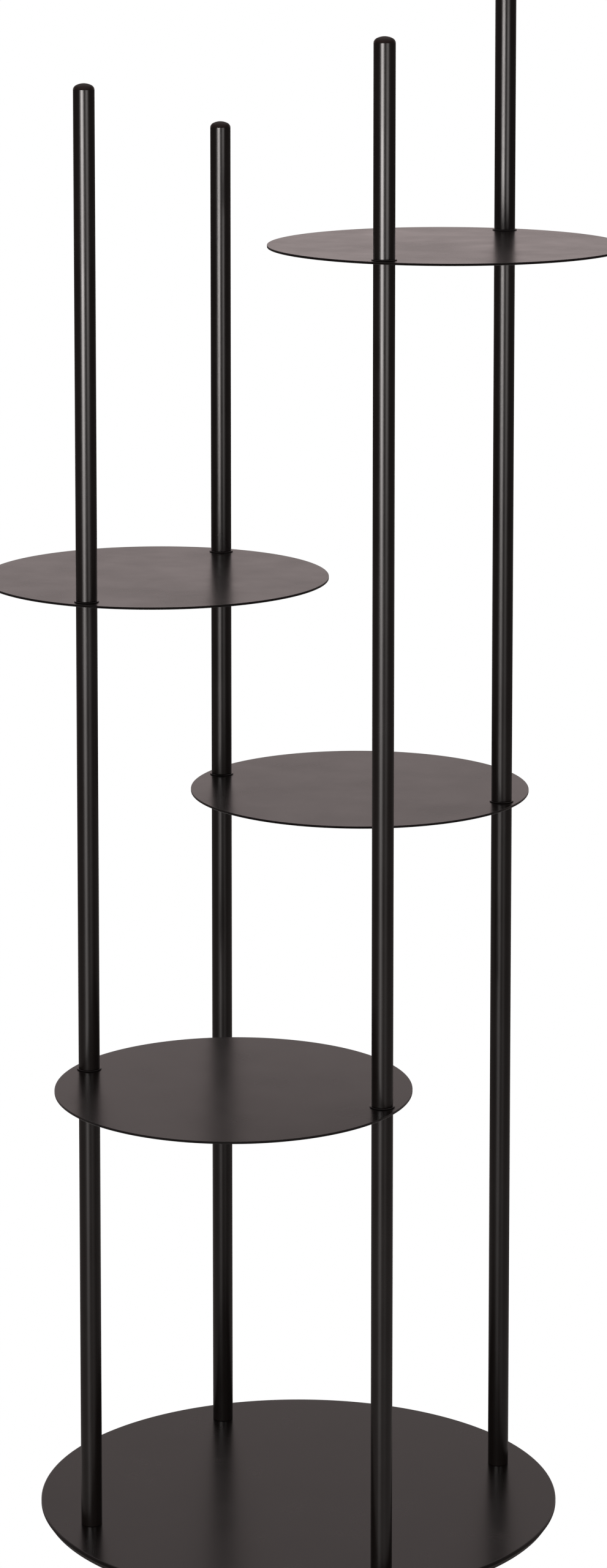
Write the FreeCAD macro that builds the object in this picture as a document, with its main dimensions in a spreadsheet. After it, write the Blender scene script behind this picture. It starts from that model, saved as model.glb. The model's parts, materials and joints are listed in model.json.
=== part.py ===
import FreeCAD, Part
import math
import operator
import os
import Sketcher

# Plant table: a round steel base, four straight tube posts on the corners of a square, and four thin
# round shelves. Each shelf is clamped between the tubes of two neighbouring posts, so the shelves climb
# round the square: front, back, left and right. Millimetres, +Z up, origin on the floor under the
# centre of the base, front towards -Y.

os.makedirs("parts", exist_ok=True)
doc = FreeCAD.newDocument("PlantTable")
sheet = doc.addObject("Spreadsheet::Sheet", "Sizes")

# Driving dimensions, one cell of the sheet each. Everything else is worked out from them.
DRIVING = {
    # Shelves: sheet discs with broken edges. Their holes set how far apart the posts stand.
    "shelf_diameter": 300.0,
    "shelf_thickness": 2.0,
    "shelf_edge_chamfer": 0.3,
    "shelf_hole_inset": 15.0,
    # Heights: the tubes under the lowest shelf, then what each later shelf adds
    "front_lower_tube": 400.0,
    "back_shelf_rise": 200.0,
    "back_left_middle_tube": 200.0,
    "right_shelf_rise": 300.0,
    # Free ends of the posts above their second shelf
    "front_left_upper_tube": 430.0,
    "back_left_upper_tube": 380.0,
    "front_right_upper_tube": 175.0,
    "back_right_upper_tube": 225.0,
    # Tube stock, cut to length with lightly broken ends
    "tube_diameter": 18.0,
    "tube_wall": 1.5,
    "tube_end_chamfer": 0.4,
    # Base: thick plate that reaches past the posts, with a rounded top edge, a narrow upright band
    # and a bevel under it
    "base_overhang": 34.1,
    "base_thickness": 8.0,
    "base_top_round": 1.0,
    "base_rim_band": 2.0,
    "base_bevel_inset": 3.5,
    # Floor mat, glued under the base
    "mat_thickness": 2.0,
    "mat_setback": 6.5,
    # Domed caps in the open tops
    "cap_dome_height": 4.9,
    "cap_stem_length": 14.0,
    "cap_wall": 1.4,
    "cap_barb_height": 1.6,
    "cap_barb_pitch": 3.6,
    # Threaded inserts in the tube ends
    "insert_length": 20.0,
    "insert_mouth_chamfer": 0.8,
    # Studs, washers and screws
    "stud_engagement": 18.0,
    "stud_end_chamfer": 0.8,
    "washer_rim": 1.5,
    "washer_thickness": 1.0,
    "screw_head_height": 4.0,
    "screw_engagement": 16.0,
    "screw_socket_width": 5.0,
    "screw_socket_depth": 3.0,
    # Clearances, each on the radius, and how far a cut runs past the face that it leaves
    "press_clearance": 0.02,
    "thread_clearance": 0.1,
    "shelf_hole_clearance": 0.25,
    "washer_hole_clearance": 0.2,
    "plate_hole_clearance": 0.5,
    "screw_head_clearance": 0.2,
    "mat_hole_clearance": 3.0,
    "cap_stem_clearance": 0.4,
    "cap_barb_clearance": 0.05,
    "cut_overrun": 1.0,
    # Thread of an insert, as a share of its outside, which gives an 8 mm stud in this tube
    "thread_share": 0.548,
    # Shoulder of a cap's dome and how far its centre lies below the rim, as shares of the dome's height
    "shoulder_radius_share": 1.02,
    "shoulder_sink_share": 0.224,
    # Lead of a cap's first barb, as a share of the barbs' pitch
    "barb_start_share": 0.25,
}
BARB_COUNT = 3
for row, (name, value) in enumerate(DRIVING.items(), start=1):
    sheet.set(f"A{row}", name)
    sheet.set(f"B{row}", str(value))
    sheet.setAlias(f"B{row}", name)
doc.recompute()

SIGNS = {"+": operator.add, "-": operator.sub, "*": operator.mul, "/": operator.truediv}


class Size:
    """A length with both its value and the sheet expression that gives it."""

    def __init__(self, text, value):
        self.text = text
        self.value = value

    def joined(self, sign, other):
        if not isinstance(other, Size):
            other = Size(str(other), other)
        return Size(f"({self.text} {sign} {other.text})", SIGNS[sign](self.value, other.value))

    def __add__(self, other):
        return self.joined("+", other)

    def __sub__(self, other):
        return self.joined("-", other)

    def __mul__(self, other):
        return self.joined("*", other)

    def __truediv__(self, other):
        return self.joined("/", other)

    def root(self):
        return Size(f"sqrt({self.text})", math.sqrt(self.value))


def size(name):
    return Size(f"Sizes.{name}", float(sheet.get(name)))


ZERO = Size("0", 0.0)

# Sizes that several pieces share
shelf_radius = size("shelf_diameter") / 2
half_spacing = shelf_radius - size("shelf_hole_inset")
post_circle_radius = half_spacing * math.sqrt(2.0)
tube_radius = size("tube_diameter") / 2
bore_radius = tube_radius - size("tube_wall")
base_radius = post_circle_radius + size("base_overhang")
insert_radius = bore_radius - size("press_clearance")
thread_radius = insert_radius * size("thread_share")
stud_radius = thread_radius - size("thread_clearance")
screw_head_radius = stud_radius + size("screw_head_height")
plate_hole_radius = stud_radius + size("plate_hole_clearance")

# Heights of the seats, from the floor up: the top of the base plate, then the underside of each shelf
joint_stack = size("shelf_thickness") + size("washer_thickness")
base_top = size("mat_thickness") + size("base_thickness")
front_seat = base_top + size("front_lower_tube")
back_seat = front_seat + size("back_shelf_rise")
left_seat = back_seat + joint_stack + size("back_left_middle_tube")
right_seat = left_seat + size("right_shelf_rise")

# Each post: its side in X and in Y, the seats of its two shelves and its free upper length
POSTS = {
    "front_left": (-1, -1, front_seat, left_seat, size("front_left_upper_tube")),
    "back_left": (-1, 1, back_seat, left_seat, size("back_left_upper_tube")),
    "front_right": (1, -1, front_seat, right_seat, size("front_right_upper_tube")),
    "back_right": (1, 1, back_seat, right_seat, size("back_right_upper_tube")),
}
# Each shelf: the side of the square that it is centred on, in X and in Y, and its seat
SHELVES = {
    "front": (0, -1, front_seat),
    "back": (0, 1, back_seat),
    "left": (-1, 0, left_seat),
    "right": (1, 0, right_seat),
}
# The ways that a piece's own X axis can point: as it is, or from the centre to the back right post
STRAIGHT = FreeCAD.Vector(1, 0, 0)
TO_CORNER = FreeCAD.Vector(1, 1, 0)
subparts = []


def new_body(name, side_x=0, side_y=0, height=ZERO, pointing=STRAIGHT):
    """Starts a sub-part whose own axis stands at a corner or a side of the square of posts."""
    body = doc.addObject("PartDesign::Body", name)
    body.Label = name
    body.AllowCompound = True
    body.Placement = FreeCAD.Placement(FreeCAD.Vector(), FreeCAD.Rotation(STRAIGHT, pointing))
    body.setExpression("Placement.Base.x", (half_spacing * side_x).text)
    body.setExpression("Placement.Base.y", (half_spacing * side_y).text)
    body.setExpression("Placement.Base.z", height.text)
    subparts.append(body)
    return body


def new_shelf_body(side, name, height):
    """Starts a sub-part of a shelf, whose own X axis runs along the shelf's line of holes."""
    side_x, side_y = SHELVES[side][:2]
    return new_body(side + name, side_x, side_y, height, FreeCAD.Vector(abs(side_y), abs(side_x), 0))


def origin_part(body, role):
    return [feature for feature in body.Origin.OriginFeatures if feature.Role == role][0]


def new_sketch(body, plane, name):
    sketch = body.newObject("Sketcher::SketchObject", name)
    sketch.AttachmentSupport = (origin_part(body, plane), [""])
    sketch.MapMode = "FlatFace"
    return sketch


def hold(sketch, kind, *where, length):
    """Adds a dimension and binds it to the sheet."""
    index = sketch.addConstraint(Sketcher.Constraint(kind, *where, length.value))
    sketch.setExpression(f"Constraints[{index}]", length.text)


def place_point(sketch, geometry, point, across, up):
    """Dimensions a point of a sketch from the origin. A zero puts it on the axis."""
    if across is ZERO:
        sketch.addConstraint(Sketcher.Constraint("PointOnObject", geometry, point, -2))
    else:
        hold(sketch, "DistanceX", -1, 1, geometry, point, length=across)
    if up is ZERO:
        sketch.addConstraint(Sketcher.Constraint("PointOnObject", geometry, point, -1))
    else:
        hold(sketch, "DistanceY", -1, 1, geometry, point, length=up)


def draw_circle(sketch, radius, across=ZERO, helper=False):
    """Draws a circle centred on the sketch's horizontal axis."""
    centre = FreeCAD.Vector(across.value, 0, 0)
    circle = sketch.addGeometry(Part.Circle(centre, FreeCAD.Vector(0, 0, 1), radius.value), helper)
    place_point(sketch, circle, 3, across, ZERO)
    hold(sketch, "Radius", circle, length=radius)
    return circle


def draw_twin_circles(sketch, radius, across):
    """Draws two equal circles, one each side of the origin on the horizontal axis."""
    right = draw_circle(sketch, radius, across)
    centre = FreeCAD.Vector(-across.value, 0, 0)
    left = sketch.addGeometry(Part.Circle(centre, FreeCAD.Vector(0, 0, 1), radius.value))
    sketch.addConstraint(Sketcher.Constraint("Symmetric", left, 3, right, 3, -1, 1))
    sketch.addConstraint(Sketcher.Constraint("Equal", left, right))


def arc_between(start, end, radius):
    """Gives the arc, under half a circle, that bulges to the right of the way from start to end."""
    chord = end - start
    leftward = FreeCAD.Vector(-chord.y, chord.x, 0).normalize()
    centre = (start + end) / 2 + leftward * math.sqrt(radius ** 2 - (chord.Length / 2) ** 2)
    first = math.atan2(start.y - centre.y, start.x - centre.x)
    last = math.atan2(end.y - centre.y, end.x - centre.x)
    circle = Part.Circle(centre, FreeCAD.Vector(0, 0, 1), radius)
    return Part.ArcOfCircle(circle, first, last)


def draw_outline(sketch, corners):
    """Draws a closed outline, anticlockwise. A corner may end in the radius of the arc that leaves it."""
    points = [FreeCAD.Vector(across.value, up.value, 0) for across, up, *_ in corners]
    edges = []
    for start, end, (_, _, *radius) in zip(points, points[1:] + points[:1], corners):
        shape = arc_between(start, end, radius[0].value) if radius else Part.LineSegment(start, end)
        edges.append(sketch.addGeometry(shape))
    for edge, following in zip(edges, edges[1:] + edges[:1]):
        sketch.addConstraint(Sketcher.Constraint("Coincident", edge, 2, following, 1))
    for edge, (across, up, *radius) in zip(edges, corners):
        place_point(sketch, edge, 1, across, up)
        if radius:
            hold(sketch, "Radius", edge, length=radius[0])


def draw_axis(sketch, across, low, high):
    """Adds the upright construction line that a profile away from the origin turns about."""
    start = FreeCAD.Vector(across.value, low.value, 0)
    end = FreeCAD.Vector(across.value, high.value, 0)
    line = sketch.addGeometry(Part.LineSegment(start, end), True)
    place_point(sketch, line, 1, across, low)
    place_point(sketch, line, 2, across, high)


def pad(body, sketch, length):
    feature = body.newObject("PartDesign::Pad", body.Name + "_pad")
    feature.Profile = sketch
    feature.setExpression("Length", length.text)
    return feature


def pocket_up(body, sketch, length):
    """Cuts upwards from a sketch in the body's own floor plane."""
    feature = body.newObject("PartDesign::Pocket", body.Name + "_pocket")
    feature.Profile = sketch
    feature.Reversed = True
    feature.setExpression("Length", length.text)
    return feature


def turn_profile(body, kind, sketch, axis="V_Axis"):
    """Turns a profile a full circle, to add (Revolution) or to cut (Groove)."""
    feature = body.newObject("PartDesign::" + kind, body.Name + "_" + kind.lower())
    feature.Profile = sketch
    feature.ReferenceAxis = (sketch, [axis])
    feature.Angle = 360.0
    return feature


def repeat_round(body, features, count):
    """Repeats features evenly round the body's own axis."""
    pattern = body.newObject("PartDesign::PolarPattern", body.Name + "_pattern")
    pattern.Originals = features
    pattern.Axis = (origin_part(body, "Z_Axis"), [""])
    pattern.Angle = 360.0
    pattern.Occurrences = count
    body.Tip = pattern


def chamfer_rims(body, feature, radius, length):
    """Breaks the circular edges of one radius."""
    doc.recompute()
    rims = [
        f"Edge{number}"
        for number, edge in enumerate(feature.Shape.Edges, start=1)
        if isinstance(edge.Curve, Part.Circle) and abs(edge.Curve.Radius - radius.value) < length.value
    ]
    chamfer = body.newObject("PartDesign::Chamfer", body.Name + "_chamfer")
    chamfer.Base = (feature, rims)
    chamfer.setExpression("Size", length.text)


# Base plate: a thick steel disc. The bevel round its underside makes the rim look thin and lets fingers
# under it. Four countersunk holes take the screws that hold the posts.
def build_base_plate():
    thickness = size("base_thickness")
    top_round = size("base_top_round")
    body = new_body("base_plate", height=size("mat_thickness"), pointing=TO_CORNER)
    profile = new_sketch(body, "XZ_Plane", "base_profile")
    corners = [
        (ZERO, ZERO),
        (base_radius - size("base_bevel_inset"), ZERO),
        (base_radius, thickness - top_round - size("base_rim_band")),
        (base_radius, thickness - top_round, top_round),
        (base_radius - top_round, thickness),
        (ZERO, thickness),
    ]
    draw_outline(profile, corners)
    turn_profile(body, "Revolution", profile)

    # One hole is cut as the room for a screw, from below the plate to above it, and repeated at each post
    head_room = screw_head_radius + size("screw_head_clearance")
    cone_height = head_room - plate_hole_radius
    middle = post_circle_radius
    low = ZERO - size("cut_overrun")
    high = thickness + size("cut_overrun")
    hole = new_sketch(body, "XZ_Plane", "screw_hole_profile")
    corners = [
        (middle, low),
        (middle + head_room, low),
        (middle + head_room, ZERO),
        (middle + plate_hole_radius, cone_height),
        (middle + plate_hole_radius, high),
        (middle, high),
    ]
    draw_outline(hole, corners)
    draw_axis(hole, middle, low, high)
    doc.recompute()
    groove = turn_profile(body, "Groove", hole, axis="Axis0")
    repeat_round(body, [groove], len(POSTS))


# Floor mat: a thin foam disc glued under the plate, with an opening at each screw
def build_floor_mat():
    thickness = size("mat_thickness")
    body = new_body("floor_mat", pointing=TO_CORNER)
    disc = new_sketch(body, "XY_Plane", "mat_outline")
    draw_circle(disc, base_radius - size("base_bevel_inset") - size("mat_setback"))
    pad(body, disc, thickness)
    opening = new_sketch(body, "XY_Plane", "mat_opening")
    draw_circle(opening, screw_head_radius + size("mat_hole_clearance"), post_circle_radius)
    doc.recompute()
    pocket = pocket_up(body, opening, thickness + size("cut_overrun"))
    repeat_round(body, [pocket], len(POSTS))


# Base screws: countersunk from below, with a hexagon socket, one into the foot of each post
def build_base_screws():
    tip = size("stud_end_chamfer")
    length = size("base_thickness") + size("screw_engagement")
    middle = post_circle_radius
    body = new_body("base_screws", height=size("mat_thickness"), pointing=TO_CORNER)
    profile = new_sketch(body, "XZ_Plane", "screw_profile")
    corners = [
        (middle, ZERO),
        (middle + screw_head_radius, ZERO),
        (middle + stud_radius, size("screw_head_height")),
        (middle + stud_radius, length - tip),
        (middle + stud_radius - tip, length),
        (middle, length),
    ]
    draw_outline(profile, corners)
    draw_axis(profile, middle, ZERO, length)
    shank = turn_profile(body, "Revolution", profile, axis="Axis0")
    doc.recompute()

    socket = new_sketch(body, "XY_Plane", "screw_socket")
    corner_reach = size("screw_socket_width") / 2 / math.cos(math.pi / 6)
    rim = draw_circle(socket, corner_reach, middle, helper=True)
    centre = FreeCAD.Vector(middle.value, 0, 0)
    angles = [math.pi * step / 3 for step in range(7)]
    spokes = [FreeCAD.Vector(math.cos(angle), math.sin(angle), 0) for angle in angles]
    points = [centre + spoke * corner_reach.value for spoke in spokes]
    sides = [socket.addGeometry(Part.LineSegment(*ends)) for ends in zip(points, points[1:])]
    for edge, following in zip(sides, sides[1:] + sides[:1]):
        socket.addConstraint(Sketcher.Constraint("Coincident", edge, 2, following, 1))
        socket.addConstraint(Sketcher.Constraint("PointOnObject", edge, 1, rim))
    for edge in sides[1:]:
        socket.addConstraint(Sketcher.Constraint("Equal", edge, sides[0]))
    socket.addConstraint(Sketcher.Constraint("PointOnObject", sides[0], 1, -1))
    pocket = pocket_up(body, socket, size("screw_socket_depth"))
    repeat_round(body, [shank, pocket], len(POSTS))


# Shelves: flat discs of sheet, each with two holes in line with the posts that clamp it
def build_shelf(side, seat):
    body = new_shelf_body(side, "_shelf", seat)
    outline = new_sketch(body, "XY_Plane", side + "_shelf_outline")
    draw_circle(outline, shelf_radius)
    draw_twin_circles(outline, stud_radius + size("shelf_hole_clearance"), half_spacing)
    disc = pad(body, outline, size("shelf_thickness"))
    chamfer_rims(body, disc, shelf_radius, size("shelf_edge_chamfer"))


# Washers: thin, and a little wider than the tubes, so each shows as a fine dark line on its shelf
def build_shelf_washers(side, seat):
    body = new_shelf_body(side, "_shelf_washers", seat + size("shelf_thickness"))
    outline = new_sketch(body, "XY_Plane", side + "_washer_outline")
    draw_twin_circles(outline, tube_radius + size("washer_rim"), half_spacing)
    draw_twin_circles(outline, stud_radius + size("washer_hole_clearance"), half_spacing)
    pad(body, outline, size("washer_thickness"))


# Studs: one joins each pair of tubes through a shelf, and pulls them tight on it
def build_shelf_studs(side, seat):
    tip = size("stud_end_chamfer")
    length = size("stud_engagement") * 2 + joint_stack
    body = new_shelf_body(side, "_shelf_studs", seat - size("stud_engagement"))
    profile = new_sketch(body, "XZ_Plane", side + "_stud_profile")
    corners = [
        (half_spacing, ZERO),
        (half_spacing + stud_radius - tip, ZERO),
        (half_spacing + stud_radius, tip),
        (half_spacing + stud_radius, length - tip),
        (half_spacing + stud_radius - tip, length),
        (half_spacing, length),
    ]
    draw_outline(profile, corners)
    draw_axis(profile, half_spacing, ZERO, length)
    stud = turn_profile(body, "Revolution", profile, axis="Axis0")
    doc.recompute()
    repeat_round(body, [stud], 2)


# Tubes: every post is three of them, end to end, with a shelf clamped at each of its two joints
def build_tube(post, part, foot, length):
    side_x, side_y = POSTS[post][:2]
    body = new_body(f"{post}_{part}_tube", side_x, side_y, foot)
    section = new_sketch(body, "XY_Plane", f"{post}_{part}_section")
    draw_circle(section, tube_radius)
    draw_circle(section, bore_radius)
    tube = pad(body, section, length)
    chamfer_rims(body, tube, tube_radius, size("tube_end_chamfer"))


# Inserts: thick threaded rings fixed in the tube ends that meet the base and the shelves, flush with
# each end. Their threads start with a small chamfer at that end.
def build_inserts(post, feet, tops):
    side_x, side_y = POSTS[post][:2]
    inner = thread_radius
    outer = insert_radius
    mouth = size("insert_mouth_chamfer")
    length = size("insert_length")
    body = new_body(post + "_inserts", side_x, side_y)
    profile = new_sketch(body, "XZ_Plane", post + "_insert_profiles")
    for foot in feet:
        far = foot + length
        corners = [(inner + mouth, foot), (outer, foot), (outer, far), (inner, far), (inner, foot + mouth)]
        draw_outline(profile, corners)
    for top in tops:
        far = top - length
        corners = [(inner, far), (outer, far), (outer, top), (inner + mouth, top), (inner, top - mouth)]
        draw_outline(profile, corners)
    turn_profile(body, "Revolution", profile)


# Caps: domed plugs pushed into the open tops. The dome stands on the tube's end and is two tangent arcs,
# a flat crown and a tighter shoulder, whose centre is a little below the rim, so that the dome meets the
# tube at a faint corner. The stem is hollow, with barbs that grip the bore.
def build_cap(post, tube_top):
    side_x, side_y = POSTS[post][:2]
    dome = size("cap_dome_height")
    wall = size("cap_wall")
    rim_height = size("cap_stem_length")
    stem = bore_radius - size("cap_stem_clearance")
    barb = bore_radius - size("cap_barb_clearance")

    # The crown's radius follows from the tangent that the two arcs share
    shoulder = dome * size("shoulder_radius_share")
    sink = dome * size("shoulder_sink_share")
    across = tube_radius - (shoulder * shoulder - sink * sink).root()
    rise = dome + sink
    crown = (across * across + rise * rise - shoulder * shoulder) / ((rise - shoulder) * 2)
    lean = shoulder / (crown - shoulder)
    meeting = (across + across * lean, rim_height - sink + (crown - rise) * lean)

    ceiling = rim_height + dome - wall * 2
    corners = [(ZERO, ceiling), (stem - wall, ceiling), (stem - wall, ZERO), (stem, ZERO)]
    for number in range(BARB_COUNT):
        low = size("cap_barb_pitch") * (size("barb_start_share") + number)
        high = low + size("cap_barb_height")
        corners += [(stem, low), (barb, high), (stem, high)]
    corners += [(stem, rim_height), (tube_radius, rim_height, shoulder)]
    corners += [(*meeting, crown), (ZERO, rim_height + dome)]
    body = new_body(post + "_cap", side_x, side_y, tube_top - rim_height)
    profile = new_sketch(body, "XZ_Plane", post + "_cap_profile")
    draw_outline(profile, corners)
    turn_profile(body, "Revolution", profile)


build_base_plate()
build_floor_mat()
build_base_screws()
for side, (side_x, side_y, seat) in SHELVES.items():
    build_shelf(side, seat)
    build_shelf_washers(side, seat)
    build_shelf_studs(side, seat)
for post, (side_x, side_y, first_seat, second_seat, upper_length) in POSTS.items():
    middle_foot = first_seat + joint_stack
    upper_foot = second_seat + joint_stack
    build_tube(post, "lower", base_top, first_seat - base_top)
    build_tube(post, "middle", middle_foot, second_seat - middle_foot)
    build_tube(post, "upper", upper_foot, upper_length)
    build_inserts(post, feet=[base_top, middle_foot, upper_foot], tops=[first_seat, second_seat])
    build_cap(post, upper_foot + upper_length)
doc.recompute()

# Nothing is written unless every object came out sound
for item in doc.Objects:
    if "Invalid" in item.State or "Error" in item.State:
        raise RuntimeError(f"{item.Label} failed: {item.State}")
for body in subparts:
    shape = body.Shape
    if shape.isNull() or not shape.isValid():
        raise RuntimeError(f"{body.Label} has no sound shape")
    print(body.Label, len(shape.Solids), "solid(s)", round(shape.Volume), "mm3")
for body in subparts:
    body.Shape.exportStep(os.path.join("parts", body.Label + ".step"))
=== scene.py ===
import json
import math

import bmesh
import bpy
from mathutils import Euler, Matrix, Vector

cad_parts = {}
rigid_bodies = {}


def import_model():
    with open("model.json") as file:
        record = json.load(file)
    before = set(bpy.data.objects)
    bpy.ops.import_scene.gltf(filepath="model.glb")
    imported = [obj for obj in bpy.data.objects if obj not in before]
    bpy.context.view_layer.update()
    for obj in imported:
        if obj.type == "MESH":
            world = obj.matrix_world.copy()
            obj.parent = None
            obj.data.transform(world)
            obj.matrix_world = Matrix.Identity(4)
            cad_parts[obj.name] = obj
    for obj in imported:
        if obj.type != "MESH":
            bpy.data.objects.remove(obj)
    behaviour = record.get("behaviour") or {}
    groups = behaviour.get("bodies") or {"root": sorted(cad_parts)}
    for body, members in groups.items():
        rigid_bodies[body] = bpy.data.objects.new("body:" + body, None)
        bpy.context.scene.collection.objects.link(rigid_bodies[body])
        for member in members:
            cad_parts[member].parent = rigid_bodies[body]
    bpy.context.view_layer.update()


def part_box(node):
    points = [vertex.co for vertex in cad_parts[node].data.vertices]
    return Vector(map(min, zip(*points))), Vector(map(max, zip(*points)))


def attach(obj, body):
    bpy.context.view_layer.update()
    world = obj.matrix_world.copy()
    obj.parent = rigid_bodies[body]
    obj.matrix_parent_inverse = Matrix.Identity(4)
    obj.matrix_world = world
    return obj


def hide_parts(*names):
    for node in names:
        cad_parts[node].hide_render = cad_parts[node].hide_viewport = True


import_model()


# Floor mat
# A disc of black closed-cell foam, 2 mm thick, die-cut and glued under the base so that the table
# doesn't mark the floor. It has an opening at each of the four screws.

MM = 0.001
# Points nearer to each other than this are one point
WELD = 0.001 * MM
# How far a cutter, or a solid that is joined on, runs past the face that it meets
OVERRUN = 1 * MM
# Faces that meet at a sharper turn than this keep their corner
SHARP_CORNER = math.radians(38)
# How many flat sides draw the mat's round, and a small round such as its openings
MAT_SIDES = 192
SMALL_SIDES = 64
MAT_EDGE = 0.3 * MM
MAT_OPENING = 22 * MM
FOAM_FACE = "#292929"
# The colour of the painted shade in the foam's pits
FOAM_PIT_SHADE = "#0f0f10"
FOAM_ROUGHNESS = 0.85
PIT_WIDTH = 0.9 * MM
PIT_DEPTH = 0.08 * MM


def linear(code):
    """Turns an sRGB hex colour into the linear colour that a shader takes."""
    parts = [int(code[place:place + 2], 16) / 255 for place in (1, 3, 5)]
    return (*[part / 12.92 if part <= 0.04045 else ((part + 0.055) / 1.055) ** 2.4 for part in parts], 1.0)


def add(tree, kind, inputs=None, **settings):
    """Adds a node with its settings. An input given a socket, or a node's first output, is linked."""
    node = tree.nodes.new(kind)
    for name, value in settings.items():
        setattr(node, name, value)
    for name, value in (inputs or {}).items():
        if isinstance(value, bpy.types.Node):
            value = value.outputs[0]
        if isinstance(value, bpy.types.NodeSocket):
            tree.links.new(value, node.inputs[name])
        else:
            node.inputs[name].default_value = value
    return node


def new_material(name):
    """Starts a material. Gives it, its tree, its main shader and the socket of a place in metres."""
    material = bpy.data.materials.new(name)
    material.use_nodes = True
    tree = material.node_tree
    return material, tree, tree.nodes["Principled BSDF"], add(tree, "ShaderNodeTexCoord").outputs["Object"]


def arc(middle, start, end, steps, turn=None):
    """Gives the points of an arc from start to end round its middle. The turn is measured if not given."""
    first = start - middle
    last = end - middle
    turn = turn or first.angle(last)
    points = []
    for step in range(steps + 1):
        share = step / steps
        spoke = (first * math.sin((1 - share) * turn) + last * math.sin(share * turn)) / math.sin(turn)
        points.append(middle + spoke)
    return points


def rounded(corners, steps=4):
    """Turns corners (across, up) into points. A corner with a third number is rounded to that radius."""
    points = []
    for number, (across, up, *radius) in enumerate(corners):
        corner = Vector((across, up))
        if not radius:
            points.append(corner)
            continue
        before = (Vector(corners[number - 1][:2]) - corner).normalized()
        after = (Vector(corners[(number + 1) % len(corners)][:2]) - corner).normalized()
        half = before.angle(after) / 2
        middle = corner + (before + after).normalized() * radius[0] / math.sin(half)
        start = corner + before * radius[0] / math.tan(half)
        end = corner + after * radius[0] / math.tan(half)
        points += arc(middle, start, end, steps, math.pi - 2 * half)
    return points


def new_piece(name, shape):
    """Makes an object of a bmesh, with its faces outwards."""
    bmesh.ops.recalc_face_normals(shape, faces=shape.faces)
    mesh = bpy.data.meshes.new(name)
    shape.to_mesh(mesh)
    shape.free()
    piece = bpy.data.objects.new(name, mesh)
    bpy.context.scene.collection.objects.link(piece)
    return piece


def turned(name, outline, sides, centre=(0, 0, 0)):
    """Turns an outline round an upright axis through a point, into a solid or a ring."""
    shape = bmesh.new()
    rings = []
    for across, up in outline:
        if across < WELD:
            rings.append([shape.verts.new((0, 0, up))] * sides)
            continue
        angles = [math.tau * step / sides for step in range(sides)]
        rings.append([shape.verts.new((across * math.cos(a), across * math.sin(a), up)) for a in angles])
    for low, high in zip(rings, rings[1:] + rings[:1]):
        for one, other in zip(range(sides), [*range(1, sides), 0]):
            corners = list(dict.fromkeys([low[one], low[other], high[other], high[one]]))
            if len(corners) > 2:
                shape.faces.new(corners)
    bmesh.ops.transform(shape, matrix=Matrix.Translation(centre), verts=shape.verts)
    return new_piece(name, shape)


def keep_result(piece):
    """Keeps what a piece's modifiers give as its plain mesh."""
    depsgraph = bpy.context.evaluated_depsgraph_get()
    result = bpy.data.meshes.new_from_object(piece.evaluated_get(depsgraph), depsgraph=depsgraph)
    piece.modifiers.clear()
    piece.data = result


def combine(piece, others, operation="DIFFERENCE"):
    """Cuts other solids out of a piece, or joins them to it, and takes them away."""
    for other in others:
        modifier = piece.modifiers.new(operation, "BOOLEAN")
        modifier.operation = operation
        modifier.object = other
        modifier.solver = "EXACT"
    keep_result(piece)
    for other in others:
        bpy.data.objects.remove(other)


def finish_piece(piece, material, node):
    """Smooths a piece but not its corners, gives it its material and puts it in its node's place."""
    piece.data.shade_smooth()
    piece.data.set_sharp_from_angle(angle=SHARP_CORNER)
    piece.modifiers.new("Weighted normals", "WEIGHTED_NORMAL").keep_sharp = True
    keep_result(piece)
    piece.data.materials.clear()
    piece.data.materials.append(material)
    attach(piece, "root")
    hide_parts(node)


# Closed-cell EVA foam, split from a block: dull charcoal, with the fine pits of the bubbles that the
# knife opened. They are about 0.3 mm wide, and drawn three times as coarse so that they show. The pits'
# darker colour is painted shade.
foam, tree, shader, place = new_material("eva_foam_black")
cells = add(tree, "ShaderNodeTexVoronoi", {"Vector": place, "Scale": 1 / PIT_WIDTH})
# A colour mix takes its share at input 0 and its two colours at 6 and 7, and gives a colour at output 2
# Painted shade: the colour darkens towards each pit's middle, where the bump sinks deepest
tone = add(tree, "ShaderNodeMix", {
    0: cells.outputs["Distance"], 6: linear(FOAM_PIT_SHADE), 7: linear(FOAM_FACE),
}, data_type="RGBA")
pits = add(tree, "ShaderNodeBump", {"Height": cells.outputs["Distance"], "Distance": PIT_DEPTH})
tree.links.new(tone.outputs[2], shader.inputs["Base Color"])
tree.links.new(pits.outputs["Normal"], shader.inputs["Normal"])
shader.inputs["Roughness"].default_value = FOAM_ROUGHNESS

low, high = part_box("floor_mat")
posts = {
    post: (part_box(f"{post}_lower_tube")[0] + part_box(f"{post}_lower_tube")[1]) / 2
    for post in ("front_left", "back_left", "front_right", "back_right")
}
mat = turned("floor_mat_foam", rounded([
    (0, low.z), (high.x, low.z, MAT_EDGE), (high.x, high.z, MAT_EDGE), (0, high.z),
]), MAT_SIDES)
combine(mat, [
    turned("opening", [
        (0, low.z - OVERRUN), (MAT_OPENING / 2, low.z - OVERRUN), (MAT_OPENING / 2, high.z + OVERRUN),
        (0, high.z + OVERRUN),
    ], SMALL_SIDES, (post.x, post.y, 0))
    for post in posts.values()
])
finish_piece(mat, foam, "floor_mat")


# Base plate
# An 8 mm steel disc, turned to size with a rounded top edge and a bevel below that makes it look
# thinner, drilled and countersunk from below for the post screws, blasted and powder coated black.

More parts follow.
